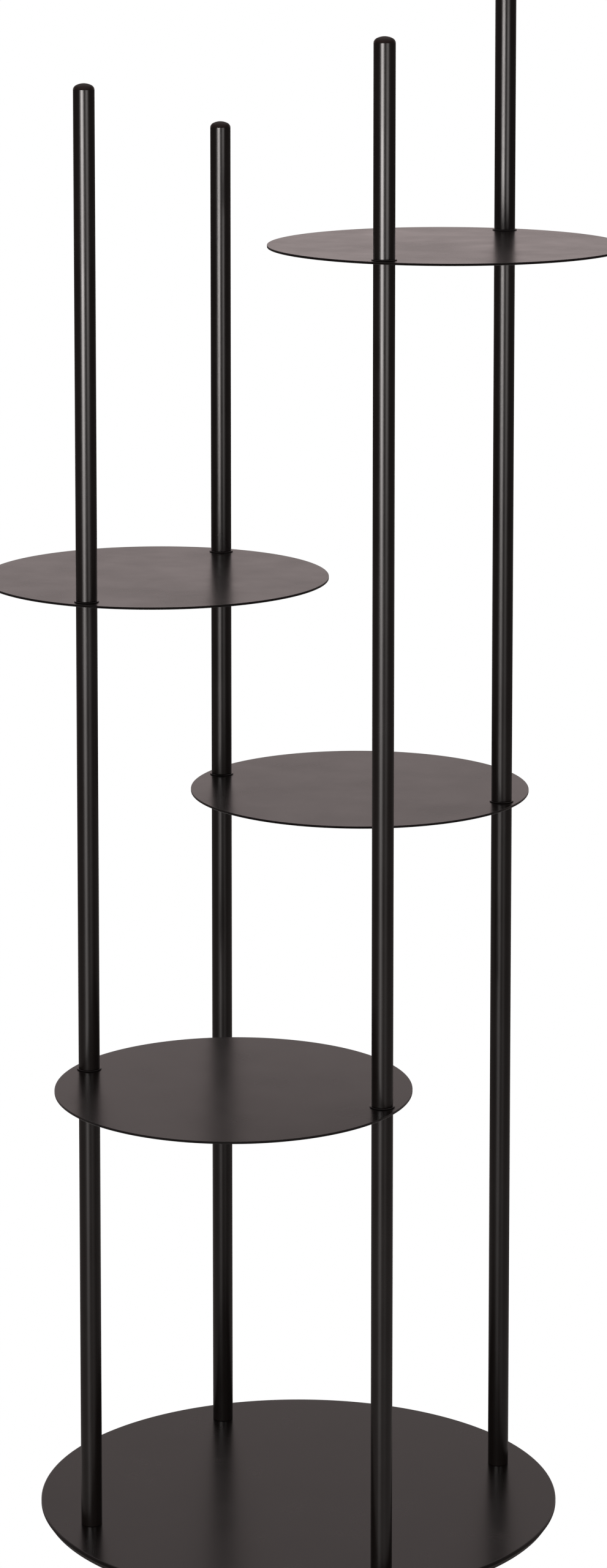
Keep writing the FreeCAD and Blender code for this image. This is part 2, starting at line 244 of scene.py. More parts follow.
BASE_SIDES = 256
BASE_TOP_ROUND = 1 * MM
BASE_ROUND_STEPS = 6
BASE_BAND = 2 * MM
BASE_BEVEL = 3.5 * MM
BASE_UNDER_EDGE = 0.4 * MM
SCREW_ROOM = 16.4 * MM
SCREW_PASSAGE = 9 * MM
COAT_BLACK = "#0a0706"
COAT_CLOUD = "#0d0a09"
COAT_ROUGHNESS = (0.23, 0.28)
COAT_IOR = 1.5
PEEL_WAVE = 3.2 * MM
PEEL_HEIGHT = 0.006 * MM
GRAIN_WAVE = 0.7 * MM
GRAIN_HEIGHT = 0.0015 * MM
CLOUD_WAVE = 60 * MM
CLOUD_EDGES = (0.3, 0.7)

# Satin polyester powder coat, sprayed dry on blasted steel and baked: near-black and slightly warm, with
# a soft sheen, the low swells of orange peel some 3 mm apart and a fine dry grain. The grain is really
# about 0.2 mm, and drawn coarser so that it shows. In faint clouds the coat is a little lighter and duller.
coat, tree, shader, place = new_material("powder_coat_satin_black")
peel = add(tree, "ShaderNodeTexNoise", {
    "Vector": place, "Scale": 1 / PEEL_WAVE, "Detail": 1.0, "Roughness": 0.4,
})
grain = add(tree, "ShaderNodeTexNoise", {
    "Vector": place, "Scale": 1 / GRAIN_WAVE, "Detail": 2.0, "Roughness": 0.5,
})
clouds = add(tree, "ShaderNodeTexNoise", {
    "Vector": place, "Scale": 1 / CLOUD_WAVE, "Detail": 3.0, "Roughness": 0.6,
})
swells = add(tree, "ShaderNodeBump", {"Height": peel.outputs["Fac"], "Distance": PEEL_HEIGHT})
skin = add(tree, "ShaderNodeBump", {
    "Height": grain.outputs["Fac"], "Distance": GRAIN_HEIGHT, "Normal": swells.outputs["Normal"],
})
sheen = add(tree, "ShaderNodeMapRange", {
    "Value": clouds.outputs["Fac"], "From Min": CLOUD_EDGES[0], "From Max": CLOUD_EDGES[1],
    "To Min": COAT_ROUGHNESS[0], "To Max": COAT_ROUGHNESS[1],
})
shade = add(tree, "ShaderNodeMix", {
    0: clouds.outputs["Fac"], 6: linear(COAT_BLACK), 7: linear(COAT_CLOUD),
}, data_type="RGBA")
tree.links.new(shade.outputs[2], shader.inputs["Base Color"])
tree.links.new(sheen.outputs["Result"], shader.inputs["Roughness"])
tree.links.new(skin.outputs["Normal"], shader.inputs["Normal"])
shader.inputs["IOR"].default_value = COAT_IOR

low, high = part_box("base_plate")
band = high.z - BASE_TOP_ROUND - BASE_BAND
plate = turned("base_plate_coated", rounded([
    (0, low.z), (high.x - BASE_BEVEL, low.z, BASE_UNDER_EDGE), (high.x, band, BASE_UNDER_EDGE),
    (high.x, high.z, BASE_TOP_ROUND), (0, high.z),
], BASE_ROUND_STEPS), BASE_SIDES)
cone = (SCREW_ROOM - SCREW_PASSAGE) / 2
combine(plate, [
    turned("screw_room", [
        (0, low.z - OVERRUN), (SCREW_ROOM / 2, low.z - OVERRUN), (SCREW_ROOM / 2, low.z),
        (SCREW_PASSAGE / 2, low.z + cone), (SCREW_PASSAGE / 2, high.z + OVERRUN), (0, high.z + OVERRUN),
    ], SMALL_SIDES, (post.x, post.y, 0))
    for post in posts.values()
])
finish_piece(plate, coat, "base_plate")


# Base screws
# Four M8 countersunk machine screws with hexagon sockets, cold headed, rolled and zinc plated. They come
# up through the base into the feet of the posts, and their heads lie flush with its underside.

M8_PITCH = 1.25 * MM
M8_DEPTH = 0.66 * MM
THREAD_SIDES = 32
THREAD_TAPER = 0.8 * MM
SCREW_HEAD_GAP = 0.2 * MM
SCREW_HEAD_RIM = 0.3 * MM
SCREW_HEAD_HEIGHT = 4 * MM
SOCKET_SIDES = 6
SOCKET_ACROSS_FLATS = 5 * MM
SOCKET_DEPTH = 3 * MM
SOCKET_POINT = 0.6 * MM
TURN_SEED = 8
ZINC_BLUE = "#c3c7ca"
ZINC_YELLOW = "#d3d0c6"
ZINC_ROUGHNESS = (0.2, 0.42)
ZINC_WAVE = 4 * MM
ZINC_SCUFF = 0.02 * MM


def new_tree(name, **inputs):
    """Starts a Geometry Nodes tree with named inputs. Gives it and the sockets that they arrive at."""
    tree = bpy.data.node_groups.new(name, "GeometryNodeTree")
    tree.interface.new_socket("Geometry", in_out="INPUT", socket_type="NodeSocketGeometry")
    for label, kind in inputs.items():
        tree.interface.new_socket(label, in_out="INPUT", socket_type="NodeSocket" + kind)
    tree.interface.new_socket("Material", in_out="INPUT", socket_type="NodeSocketMaterial")
    tree.interface.new_socket("Geometry", in_out="OUTPUT", socket_type="NodeSocketGeometry")
    return tree, add(tree, "NodeGroupInput").outputs


def end_tree(tree, given, shape, **more):
    """Puts the shape on each of the given points, makes it plain mesh and gives it the material."""
    copies = add(tree, "GeometryNodeInstanceOnPoints", {
        "Points": given["Geometry"], "Instance": shape, **more,
    })
    whole = add(tree, "GeometryNodeRealizeInstances", {"Geometry": copies})
    dressed = add(tree, "GeometryNodeSetMaterial", {"Geometry": whole, "Material": given["Material"]})
    add(tree, "NodeGroupOutput", {"Geometry": dressed})


def grown(name, tree, places, **values):
    """Grows a tree's shape on each place, with its inputs set by their identifiers, as one plain mesh."""
    shape = bmesh.new()
    for point in places:
        shape.verts.new(point)
    piece = new_piece(name, shape)
    modifier = piece.modifiers.new(tree.name, "NODES")
    modifier.node_group = tree
    for item in tree.interface.items_tree:
        if item.in_out == "INPUT" and item.name in values:
            modifier[item.identifier] = values[item.name]
    keep_result(piece)
    shape = bmesh.new()
    shape.from_mesh(piece.data)
    bmesh.ops.remove_doubles(shape, verts=shape.verts, dist=WELD)
    bmesh.ops.recalc_face_normals(shape, faces=shape.faces)
    shape.to_mesh(piece.data)
    shape.free()
    return piece


# A thread is a grid wrapped round a rod. Its rows climb one pitch in a turn, crest and root by turns,
# from two pitches below the rod's foot, and are held between its ends. It has two rows for each turn
# and seven more, of which the first and the last close the ends.
thread_tree, given = new_tree(
    "thread", Radius="Float", Depth="Float", Pitch="Float", Length="Float", Taper="Float",
)
turns = add(thread_tree, "ShaderNodeMath", {0: given["Length"], 1: given["Pitch"]}, operation="DIVIDE")
whole = add(thread_tree, "ShaderNodeMath", {0: turns}, operation="CEIL")
rows = add(thread_tree, "ShaderNodeMath", {0: whole, 1: 2.0, 2: 7.0}, operation="MULTIPLY_ADD")
grid = add(thread_tree, "GeometryNodeMeshGrid", {
    "Size X": 1.0, "Size Y": 1.0, "Vertices X": THREAD_SIDES + 1, "Vertices Y": rows,
})
where = add(thread_tree, "ShaderNodeSeparateXYZ", {"Vector": add(thread_tree, "GeometryNodeInputPosition")})
turn = add(thread_tree, "ShaderNodeMath", {0: where.outputs["X"], 1: 0.5}, operation="ADD")
share = add(thread_tree, "ShaderNodeMath", {0: where.outputs["Y"], 1: 0.5}, operation="ADD")
last = add(thread_tree, "ShaderNodeMath", {0: rows, 1: 1.0}, operation="SUBTRACT")
place = add(thread_tree, "ShaderNodeMath", {0: share, 1: last}, operation="MULTIPLY")
row = add(thread_tree, "ShaderNodeMath", {0: place}, operation="ROUND")
half_row = add(thread_tree, "ShaderNodeMath", {0: row, 1: 0.5, 2: -2.0}, operation="MULTIPLY_ADD")
climb = add(thread_tree, "ShaderNodeMath", {0: turn, 1: half_row}, operation="ADD")
free = add(thread_tree, "ShaderNodeMath", {0: climb, 1: given["Pitch"]}, operation="MULTIPLY")
height = add(thread_tree, "ShaderNodeClamp", {"Value": free, "Min": 0.0, "Max": given["Length"]})
odd = add(thread_tree, "ShaderNodeMath", {0: row, 1: 2.0}, operation="MODULO")
cut = add(thread_tree, "ShaderNodeMath", {0: odd, 1: given["Depth"]}, operation="MULTIPLY")
flank = add(thread_tree, "ShaderNodeMath", {0: given["Radius"], 1: cut}, operation="SUBTRACT")
point = add(thread_tree, "ShaderNodeMath", {0: given["Radius"], 1: given["Taper"]}, operation="SUBTRACT")
to_top = add(thread_tree, "ShaderNodeMath", {0: given["Length"], 1: height}, operation="SUBTRACT")
to_end = add(thread_tree, "ShaderNodeMath", {0: height, 1: to_top}, operation="MINIMUM")
tip = add(thread_tree, "ShaderNodeMath", {0: point, 1: to_end}, operation="ADD")
outside = add(thread_tree, "ShaderNodeMath", {0: flank, 1: tip}, operation="MINIMUM")
after_first = add(thread_tree, "ShaderNodeMath", {0: row, 1: 0.5}, operation="GREATER_THAN")
near_last = add(thread_tree, "ShaderNodeMath", {0: last, 1: 0.5}, operation="SUBTRACT")
before_last = add(thread_tree, "ShaderNodeMath", {0: row, 1: near_last}, operation="LESS_THAN")
open_row = add(thread_tree, "ShaderNodeMath", {0: after_first, 1: before_last}, operation="MULTIPLY")
reach = add(thread_tree, "ShaderNodeMath", {0: outside, 1: open_row}, operation="MULTIPLY")
flat = add(thread_tree, "ShaderNodeCombineXYZ", {"X": reach, "Z": height})
angle = add(thread_tree, "ShaderNodeMath", {0: turn, 1: math.tau}, operation="MULTIPLY")
wrapped = add(thread_tree, "ShaderNodeVectorRotate", {
    "Vector": flat, "Angle": angle,
}, rotation_type="Z_AXIS")
rod = add(thread_tree, "GeometryNodeSetPosition", {"Geometry": grid, "Position": wrapped})
closed = add(thread_tree, "GeometryNodeMergeByDistance", {"Geometry": rod, "Distance": WELD})
end_tree(thread_tree, given, closed)

# Copies of a finished shape, each turned its own way about its axis, as screws and washers end up
copy_tree, given = new_tree("copies", Shape="Object")
original = add(copy_tree, "GeometryNodeObjectInfo", {"Object": given["Shape"]}).outputs["Geometry"]
spin = add(copy_tree, "FunctionNodeRandomValue", {
    "Max": (0.0, 0.0, math.tau), "Seed": TURN_SEED,
}, data_type="FLOAT_VECTOR")
end_tree(copy_tree, given, original, Rotation=spin)


def copied(name, pattern, places, material):
    """Puts a copy of a pattern piece on each place, as one mesh, and takes the pattern away."""
    piece = grown(name, copy_tree, places, Shape=pattern, Material=material)
    bpy.data.objects.remove(pattern)
    return piece


# Bright zinc plate on steel: blue-white metal with a soft shine, slightly clouded by its passivation
zinc, tree, shader, place = new_material("zinc_plate_bright")
clouds = add(tree, "ShaderNodeTexNoise", {"Vector": place, "Scale": 1 / ZINC_WAVE, "Detail": 4.0})
tint = add(tree, "ShaderNodeMix", {
    0: clouds.outputs["Fac"], 6: linear(ZINC_BLUE), 7: linear(ZINC_YELLOW),
}, data_type="RGBA")
gloss = add(tree, "ShaderNodeMapRange", {
    "Value": clouds.outputs["Fac"], "To Min": ZINC_ROUGHNESS[0], "To Max": ZINC_ROUGHNESS[1],
})
scuff = add(tree, "ShaderNodeBump", {"Height": clouds.outputs["Fac"], "Distance": ZINC_SCUFF})
tree.links.new(tint.outputs[2], shader.inputs["Base Color"])
tree.links.new(gloss.outputs["Result"], shader.inputs["Roughness"])
tree.links.new(scuff.outputs["Normal"], shader.inputs["Normal"])
shader.inputs["Metallic"].default_value = 1.0

low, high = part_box("base_screws")
head = SCREW_ROOM / 2 - SCREW_HEAD_GAP
# The head is a cone of about 90 degrees: over its height it narrows by as much, to the thread's radius
m8 = head - SCREW_HEAD_HEIGHT
screw = grown("screw", thread_tree, [(0, 0, 0)], Radius=m8, Depth=M8_DEPTH, Pitch=M8_PITCH,
              Length=high.z - low.z, Taper=THREAD_TAPER, Material=zinc)
combine(screw, [turned("head", rounded([
    (0, 0), (head, 0), (head, SCREW_HEAD_RIM), (m8, SCREW_HEAD_HEIGHT),
    (m8, SCREW_HEAD_HEIGHT + OVERRUN), (0, SCREW_HEAD_HEIGHT + OVERRUN),
]), SMALL_SIDES)], "UNION")
corner = SOCKET_ACROSS_FLATS / math.sqrt(3)
combine(screw, [turned("socket", [
    (0, -OVERRUN), (corner, -OVERRUN), (corner, SOCKET_DEPTH), (0, SOCKET_DEPTH + SOCKET_POINT),
], SOCKET_SIDES)])
screws = copied("base_screws_plated", screw, [(post.x, post.y, low.z) for post in posts.values()], zinc)
finish_piece(screws, zinc, "base_screws")


# Post tubes
# Each post is three lengths of 18 mm welded steel tube with a 1.5 mm wall, sawn square, deburred and
# powder coated. The lowest stands on the base, and each of the others on the washer over a shelf.

TUBE_SIDES = 72
TUBE_WALL = 1.5 * MM
TUBE_END_ROUND = 0.4 * MM
TUBE_END_STEPS = 3

# A tube is its wall's section, with rounded ends, swept round a circle
tube_tree, given = new_tree("tube", Radius="Float", Wall="Float", Length="Float", End="Float")
middle = add(tube_tree, "ShaderNodeMath", {
    0: given["Wall"], 1: -0.5, 2: given["Radius"],
}, operation="MULTIPLY_ADD")
half = add(tube_tree, "ShaderNodeMath", {0: given["Length"], 1: 0.5}, operation="MULTIPLY")
lift = add(tube_tree, "ShaderNodeCombineXYZ", {"Z": half})
section = add(tube_tree, "GeometryNodeCurvePrimitiveQuadrilateral", {
    "Width": given["Wall"], "Height": given["Length"],
})
soft = add(tube_tree, "GeometryNodeFilletCurve", {
    "Curve": section, "Count": TUBE_END_STEPS, "Radius": given["End"],
}, mode="POLY")
circle = add(tube_tree, "GeometryNodeCurvePrimitiveCircle", {"Resolution": TUBE_SIDES, "Radius": middle})
level = add(tube_tree, "GeometryNodeSetCurveNormal", {"Curve": circle}, mode="Z_UP")
swept = add(tube_tree, "GeometryNodeCurveToMesh", {"Curve": level, "Profile Curve": soft})
lifted = add(tube_tree, "GeometryNodeTransform", {"Geometry": swept, "Translation": lift})
end_tree(tube_tree, given, lifted)

for post, axis in posts.items():
    for part in ("lower", "middle", "upper"):
        low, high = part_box(f"{post}_{part}_tube")
        tube = grown(f"{post}_{part}_tube_coated", tube_tree, [(axis.x, axis.y, low.z)],
                     Radius=(high.x - low.x) / 2, Wall=TUBE_WALL, Length=high.z - low.z,
                     End=TUBE_END_ROUND, Material=coat)
        finish_piece(tube, coat, f"{post}_{part}_tube")


# Inserts
# Steel rings turned from bar, tapped M8 and zinc plated, pressed and welded into each tube end that is
# bolted to the base or to a shelf. They are flush with the tube's end.

INSERT_LENGTH = 20 * MM
INSERT_GAP = 0.02 * MM
INSERT_EDGE = 0.2 * MM
TAP_GAP = 0.1 * MM
TAP_OVERRUN = 2 * M8_PITCH

low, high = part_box("front_left_lower_tube")
bore = (high.x - low.x) / 2 - TUBE_WALL
ring = turned("insert", rounded([
    (m8 - M8_DEPTH, 0), (bore - INSERT_GAP, 0, INSERT_EDGE),
    (bore - INSERT_GAP, INSERT_LENGTH, INSERT_EDGE), (m8 - M8_DEPTH, INSERT_LENGTH),
]), SMALL_SIDES)
tap = grown("tap", thread_tree, [(0, 0, -TAP_OVERRUN)], Radius=m8 + TAP_GAP, Depth=M8_DEPTH,
            Pitch=M8_PITCH, Length=INSERT_LENGTH + 2 * TAP_OVERRUN, Taper=0.0, Material=zinc)
combine(ring, [tap])
for post, axis in posts.items():
    feet = [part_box(f"{post}_{part}_tube")[0].z for part in ("lower", "middle", "upper")]
    tops = [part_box(f"{post}_{part}_tube")[1].z - INSERT_LENGTH for part in ("lower", "middle")]
    rings = grown(f"{post}_inserts_plated", copy_tree, [(axis.x, axis.y, z) for z in feet + tops],
                  Shape=ring, Material=zinc)
    finish_piece(rings, zinc, f"{post}_inserts")
bpy.data.objects.remove(ring)


# Shelves
# Discs of 2 mm steel sheet, laser cut with two holes, deburred and powder coated. Each is clamped between
# the ends of two pairs of tubes.

SHELF_SIDES = 256
SHEET_EDGE = 0.3 * MM
STUD_HOLE = 8.5 * MM
STUD_HOLE_SIDES = 48
PAIRS = {
    "front": ("front_left", "front_right"),
    "back": ("back_left", "back_right"),
    "left": ("front_left", "back_left"),
    "right": ("front_right", "back_right"),
}

for side, pair in PAIRS.items():
    low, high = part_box(f"{side}_shelf")
    centre = (low + high) / 2
    radius = (high.x - low.x) / 2
    disc = turned(f"{side}_shelf_coated", rounded([
        (0, low.z), (radius, low.z, SHEET_EDGE), (radius, high.z, SHEET_EDGE), (0, high.z),
    ]), SHELF_SIDES, (centre.x, centre.y, 0))
    combine(disc, [
        turned("stud_hole", [
            (0, low.z - OVERRUN), (STUD_HOLE / 2, low.z - OVERRUN), (STUD_HOLE / 2, high.z + OVERRUN),
            (0, high.z + OVERRUN),
        ], STUD_HOLE_SIDES, (posts[post].x, posts[post].y, 0))
        for post in pair
    ])
    finish_piece(disc, coat, f"{side}_shelf")


# Shelf washers
# Stamped steel washers, 21 mm wide and 1 mm thick, powder coated with the shelves. One lies under each
# tube that stands on a shelf, and stands out round it by 1.5 mm.

WASHER_UNDER_EDGE = 0.2 * MM
WASHER_TOP_EDGE = 0.4 * MM
WASHER_HOLE = 8.4 * MM

for side, pair in PAIRS.items():
    low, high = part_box(f"{side}_shelf_washers")
    size = high - low
    radius = min(size.x, size.y) / 2
    thickness = high.z - low.z
    washer = turned("washer", rounded([
        (WASHER_HOLE / 2, 0), (radius, 0, WASHER_UNDER_EDGE), (radius, thickness, WASHER_TOP_EDGE),
        (WASHER_HOLE / 2, thickness),
    ]), TUBE_SIDES)
    places = [(posts[post].x, posts[post].y, low.z) for post in pair]
    washers = copied(f"{side}_shelf_washers_coated", washer, places, coat)
    finish_piece(washers, coat, f"{side}_shelf_washers")


# Shelf studs
# Double-ended M8 studs, rolled along their whole length and zinc plated. One goes through each shelf hole
# and pulls the tubes above and below it together.

for side, pair in PAIRS.items():
    low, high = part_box(f"{side}_shelf_studs")
    places = [(posts[post].x, posts[post].y, low.z) for post in pair]
    studs = grown(f"{side}_shelf_studs_plated", thread_tree, places, Radius=m8, Depth=M8_DEPTH,
                  Pitch=M8_PITCH, Length=high.z - low.z, Taper=THREAD_TAPER, Material=zinc)
    finish_piece(studs, zinc, f"{side}_shelf_studs")


# Caps
# Domed plugs of moulded polyethylene, pushed into the open tube tops. Three barbs on the hollow stem grip
# the bore, and the dome covers the tube's end.

DOME_HEIGHT = 4.9 * MM
# The shoulder's radius and how far its middle lies below the tube's end, as shares of the dome's height
DOME_SHOULDER_SHARE = 1.02
DOME_SINK_SHARE = 0.224
SHOULDER_STEPS = 10
CROWN_STEPS = 8
CAP_STEM = 14 * MM
CAP_STEM_GAP = 0.4 * MM
CAP_WALL = 1.4 * MM
CAP_HOLLOW_ROUND = 1 * MM
BARB_COUNT = 3
BARB_HEIGHT = 1.6 * MM
BARB_PITCH = 3.6 * MM
BARB_GAP = 0.05 * MM
# How far up the stem the first barb starts, as a share of the barbs' pitch
BARB_START_SHARE = 0.25
CAP_BLACK = "#170e0d"
CAP_WARM = "#1d1312"
CAP_ROUGHNESS = (0.38, 0.46)
CAP_IOR = 1.51
CAP_SHINE = 0.22
CAP_GRAIN_WAVE = 0.5 * MM
CAP_GRAIN_HEIGHT = 0.003 * MM
CAP_HAZE_WAVE = 9 * MM

# Polyethylene, injection moulded in a fine-blasted mould: dull black, a little warmer than the coat and
# with a weaker, softer shine, and with an even fine grain, really about 0.1 mm and drawn coarser.
plastic, tree, shader, place = new_material("polyethylene_moulded_black")
spark = add(tree, "ShaderNodeTexNoise", {"Vector": place, "Scale": 1 / CAP_GRAIN_WAVE, "Detail": 2.0})
haze = add(tree, "ShaderNodeTexNoise", {"Vector": place, "Scale": 1 / CAP_HAZE_WAVE, "Detail": 2.0})
texture = add(tree, "ShaderNodeBump", {"Height": spark.outputs["Fac"], "Distance": CAP_GRAIN_HEIGHT})
soften = add(tree, "ShaderNodeMapRange", {
    "Value": haze.outputs["Fac"], "To Min": CAP_ROUGHNESS[0], "To Max": CAP_ROUGHNESS[1],
})
tone = add(tree, "ShaderNodeMix", {
    0: haze.outputs["Fac"], 6: linear(CAP_BLACK), 7: linear(CAP_WARM),
}, data_type="RGBA")
tree.links.new(tone.outputs[2], shader.inputs["Base Color"])
tree.links.new(soften.outputs["Result"], shader.inputs["Roughness"])
tree.links.new(texture.outputs["Normal"], shader.inputs["Normal"])
shader.inputs["IOR"].default_value = CAP_IOR
shader.inputs["Specular IOR Level"].default_value = CAP_SHINE

# The dome is two arcs that meet without a corner: a tight shoulder, and a wide crown over it
for post, axis in posts.items():
    low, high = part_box(f"{post}_cap")
    edge = (high.x - low.x) / 2
    shoulder = DOME_HEIGHT * DOME_SHOULDER_SHARE
    sink = DOME_HEIGHT * DOME_SINK_SHARE
    across = edge - math.sqrt(shoulder ** 2 - sink ** 2)
    rise = DOME_HEIGHT + sink
    crown = (across ** 2 + rise ** 2 - shoulder ** 2) / (2 * (rise - shoulder))
    lean = shoulder / (crown - shoulder)
    shoulder_middle = Vector((across, CAP_STEM - sink))
    crown_middle = Vector((0, CAP_STEM + DOME_HEIGHT - crown))
    meeting = Vector((across + across * lean, CAP_STEM - sink + (crown - rise) * lean))
    stem = bore - CAP_STEM_GAP
    barb = bore - BARB_GAP
    inside = stem - CAP_WALL
    ceiling = CAP_STEM + DOME_HEIGHT - 2 * CAP_WALL
    outline = rounded([(0, ceiling), (inside, ceiling, CAP_HOLLOW_ROUND), (inside, 0), (stem, 0)])
    for number in range(BARB_COUNT):
        foot = BARB_PITCH * (BARB_START_SHARE + number)
        tip = foot + BARB_HEIGHT
        outline += [Vector((stem, foot)), Vector((barb, tip)), Vector((stem, tip))]
    outline += [Vector((stem, CAP_STEM))]
    outline += arc(shoulder_middle, Vector((edge, CAP_STEM)), meeting, SHOULDER_STEPS)
    outline += arc(crown_middle, meeting, Vector((0, CAP_STEM + DOME_HEIGHT)), CROWN_STEPS)[1:]
    cap = turned(f"{post}_cap_moulded", outline, TUBE_SIDES, (axis.x, axis.y, low.z))
    finish_piece(cap, plastic, f"{post}_cap")


# Floor and light
# A plain white sweep that burns out to white, with a hairline of shadow where the base stands on it, and
# round it the studio: a warm backdrop, lightest low down, which is what the discs' tops mirror. Two tall
# soft boxes beside the camera, much dimmer in their lower halves, draw the posts' two highlights.

FLOOR_REACH = 30
CONTACT_REACH = 1.2 * MM
CONTACT_SAMPLES = 8
# The strip of painted shade round the base: its gap, width, height and glowing grey
STRIP_GAP = 1 * MM
STRIP_WIDTH = 20 * MM
STRIP_HEIGHT = 0.1 * MM
STRIP_SHADE = "#595452"
# The studio's colour by height, from straight down at -1 over the horizon at 0 to straight up at 1
SKY = (
    (-1.0, "#f6f1ee"), (-0.6, "#efeae7"), (-0.4, "#8b8482"), (-0.33, "#7f7876"), (-0.2, "#635c5a"),
    (-0.07, "#3c3735"), (-0.01, "#3c3735"), (0.02, "#f5e4e3"), (0.1, "#ecdbda"), (0.18, "#d6c8c6"),
    (0.235, "#d7c7c6"), (0.275, "#ab9e9c"), (0.31, "#a49a98"), (0.38, "#9d9493"), (1.0, "#a99f9d"),
)
# Which way the backdrop lies, how it fades at its sides, and how bright the studio is beyond them
BACKDROP = (-0.403, 0.915, 0.0)
BACKDROP_EDGES = (0.45, 0.85)
BACKDROP_BEYOND = 0.4
# From which height the ceiling adds its light, and how much, for a view from above
CEILING_EDGES = (0.52, 0.85)
CEILING_LIGHT = 1.6
CAMERA_BEARING = math.radians(-66.25)
# Each soft box's bearing from the camera's, its width in metres and its radiance
SOFT_BOXES = {
    "left_soft_box": (math.radians(-21), 2.9, 28.0),
    "right_soft_box": (math.radians(29.7), 2.8, 5.5),
}
BOX_WARMTH = "#fff9f7"
BOX_DISTANCE = 3.6
BOX_LOW = -1.5
BOX_HIGH = 1.5
# How bright a soft box is at each height in metres, as a share of its full strength
BOX_FADE = (
    (-1.5, 0.0), (-1.33, 0.005), (-0.9, 0.044), (-0.5, 0.066), (-0.29, 0.083), (0.03, 0.074), (0.24, 0.094),
    (0.45, 0.33), (0.66, 0.72), (0.86, 1.0), (1.13, 1.0), (1.26, 0.0), (1.5, 0.0),
)


def fill_ramp(ramp, rows):
    """Gives a colour ramp its stops, each a place from 0 to 1 and a colour."""
    stops = ramp.color_ramp.elements
    stops[0].color = rows[0][1]
    stops[1].color = rows[-1][1]
    for place, colour in rows[1:-1]:
        stops.new(place).color = colour


# The sweep shows from above only, so that a view from below reaches the table's underside
floor = bpy.data.objects.new("studio_floor", bpy.data.meshes.new("studio_floor"))
bpy.context.scene.collection.objects.link(floor)
corners = [
    (-FLOOR_REACH, -FLOOR_REACH, 0), (FLOOR_REACH, -FLOOR_REACH, 0),
    (FLOOR_REACH, FLOOR_REACH, 0), (-FLOOR_REACH, FLOOR_REACH, 0),
]
floor.data.from_pydata(corners, [], [(0, 1, 2, 3)])
floor.visible_glossy = False
floor.visible_diffuse = False
floor.visible_shadow = False
paper = bpy.data.materials.new("white_paper_sweep")
paper.use_nodes = True
tree = paper.node_tree
tree.nodes.remove(tree.nodes["Principled BSDF"])
contact = add(tree, "ShaderNodeAmbientOcclusion", {"Distance": CONTACT_REACH}, samples=CONTACT_SAMPLES)
bright = add(tree, "ShaderNodeEmission", {"Color": contact.outputs["Color"], "Strength": 1.0})
clear = add(tree, "ShaderNodeBsdfTransparent")
under = add(tree, "ShaderNodeNewGeometry").outputs["Backfacing"]
one_sided = add(tree, "ShaderNodeMixShader", {0: under, 1: bright, 2: clear})
tree.links.new(one_sided.outputs[0], tree.nodes["Material Output"].inputs["Surface"])
floor.data.materials.append(paper)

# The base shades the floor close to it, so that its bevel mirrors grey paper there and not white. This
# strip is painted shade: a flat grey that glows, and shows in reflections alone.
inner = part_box("floor_mat")[1].x + STRIP_GAP
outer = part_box("base_plate")[1].x + STRIP_WIDTH
strip = turned("studio_floor_by_the_rim", [
    (inner, 0), (outer, 0), (outer, STRIP_HEIGHT), (inner, STRIP_HEIGHT),
], MAT_SIDES)
strip.visible_camera = False
strip.visible_diffuse = False
strip.visible_shadow = False
shaded = bpy.data.materials.new("white_paper_in_the_rims_shade")
shaded.use_nodes = True
tree = shaded.node_tree
tree.nodes.remove(tree.nodes["Principled BSDF"])
dim = add(tree, "ShaderNodeEmission", {"Color": linear(STRIP_SHADE), "Strength": 1.0})
tree.links.new(dim.outputs[0], tree.nodes["Material Output"].inputs["Surface"])
strip.data.materials.append(shaded)

# The camera sees plain white behind the table, while the table mirrors the studio
world = bpy.data.worlds.new("studio")
bpy.context.scene.world = world
world.use_nodes = True
tree = world.node_tree
around = add(tree, "ShaderNodeTexCoord").outputs["Generated"]
towards = add(tree, "ShaderNodeSeparateXYZ", {"Vector": around})
level = add(tree, "ShaderNodeMapRange", {"Value": towards.outputs["Z"], "From Min": -1.0, "From Max": 1.0})
sky = add(tree, "ShaderNodeValToRGB", {"Fac": level})
fill_ramp(sky, [((height + 1) / 2, linear(code)) for height, code in SKY])
facing = add(tree, "ShaderNodeVectorMath", {0: around, 1: BACKDROP}, operation="DOT_PRODUCT")
lit = add(tree, "ShaderNodeMapRange", {
    "Value": facing.outputs["Value"], "From Min": BACKDROP_EDGES[0], "From Max": BACKDROP_EDGES[1],
    "To Min": BACKDROP_BEYOND, "To Max": 1.0,
}, interpolation_type="SMOOTHSTEP")
below = add(tree, "ShaderNodeMath", {0: towards.outputs["Z"], 1: 0.0}, operation="LESS_THAN")
wall = add(tree, "ShaderNodeMath", {0: lit, 1: below}, operation="MAXIMUM")
ceiling = add(tree, "ShaderNodeMapRange", {
    "Value": towards.outputs["Z"], "From Min": CEILING_EDGES[0], "From Max": CEILING_EDGES[1],
    "To Min": 0.0, "To Max": CEILING_LIGHT,
}, interpolation_type="SMOOTHSTEP")
strength = add(tree, "ShaderNodeMath", {0: wall, 1: ceiling}, operation="ADD")
ray = add(tree, "ShaderNodeLightPath")
studio = tree.nodes["Background"]
tree.links.new(sky.outputs["Color"], studio.inputs["Color"])
tree.links.new(strength.outputs[0], studio.inputs["Strength"])
white = add(tree, "ShaderNodeBackground", {"Color": (1, 1, 1, 1)})
mixed = add(tree, "ShaderNodeMixShader", {0: ray.outputs["Is Camera Ray"], 1: studio, 2: white})
tree.links.new(mixed.outputs[0], tree.nodes["World Output"].inputs["Surface"])

# Flags, the photographer's black cards, keep the soft boxes' light off all but the posts and their caps
unflagged = bpy.data.collections.new("pieces_in_the_soft_boxes")
for piece in bpy.context.scene.objects:
    if piece.name.endswith(("_tube_coated", "_cap_moulded")):
        unflagged.objects.link(piece)

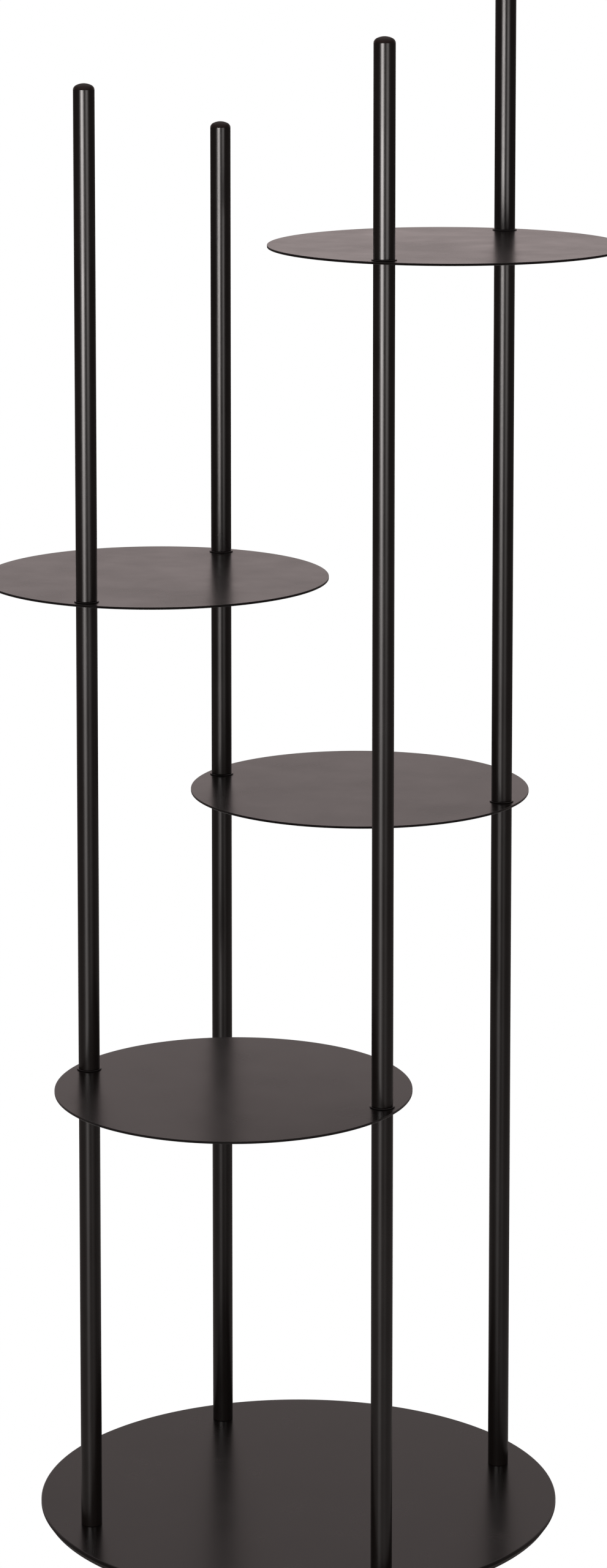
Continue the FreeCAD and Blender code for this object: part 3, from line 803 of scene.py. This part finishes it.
# Each soft box stands upright, faces the table, fades at its sides and is out of the camera's sight
for name, (aside, width, radiance) in SOFT_BOXES.items():
    light = bpy.data.lights.new(name, "AREA")
    light.shape = "RECTANGLE"
    light.size = width
    light.size_y = BOX_HIGH - BOX_LOW
    light.energy = radiance * math.pi * width * light.size_y
    light.color = linear(BOX_WARMTH)[:3]
    light.use_nodes = True
    tree = light.node_tree
    spot = add(tree, "ShaderNodeNewGeometry").outputs["Parametric"]
    spot = add(tree, "ShaderNodeSeparateXYZ", {"Vector": spot})
    fade = add(tree, "ShaderNodeValToRGB", {"Fac": spot.outputs["Y"]})
    fill_ramp(fade, [
        ((height - BOX_LOW) / (BOX_HIGH - BOX_LOW), (share, share, share, 1)) for height, share in BOX_FADE
    ])
    side = add(tree, "ShaderNodeMath", {0: spot.outputs["X"], 1: 0.5}, operation="PINGPONG")
    bell = add(tree, "ShaderNodeMapRange", {
        "Value": side, "From Max": 0.5,
    }, interpolation_type="SMOOTHSTEP")
    strength = add(tree, "ShaderNodeMath", {0: fade.outputs["Color"], 1: bell}, operation="MULTIPLY")
    tree.links.new(strength.outputs[0], tree.nodes["Emission"].inputs["Strength"])
    bearing = CAMERA_BEARING + aside
    box = bpy.data.objects.new(name, light)
    box.location = (
        BOX_DISTANCE * math.cos(bearing), BOX_DISTANCE * math.sin(bearing), (BOX_LOW + BOX_HIGH) / 2,
    )
    box.rotation_euler = Euler((math.radians(90), 0, bearing + math.radians(90)))
    box.visible_camera = False
    box.light_linking.receiver_collection = unflagged
    bpy.context.scene.collection.objects.link(box)


# Camera
# It stands to the right of the table's front, a little higher than the highest post, and looks slightly
# down through a lens that is shifted downwards.

CAMERA_PLACE = (1.4971, -3.4024, 1.492)
CAMERA_DIP = math.radians(6.678)
SENSOR_WIDTH = 36
LENS = 101.2
SHIFT = (0.0032, -0.3047)

camera = bpy.data.cameras.new("camera")
camera.sensor_width = SENSOR_WIDTH
camera.lens = LENS
camera.shift_x, camera.shift_y = SHIFT
viewer = bpy.data.objects.new("camera", camera)
viewer.location = CAMERA_PLACE
viewer.rotation_euler = Euler((math.radians(90) - CAMERA_DIP, 0, CAMERA_BEARING + math.radians(90)))
bpy.context.scene.collection.objects.link(viewer)
bpy.context.scene.camera = viewer
bpy.context.scene.view_settings.view_transform = "Standard"
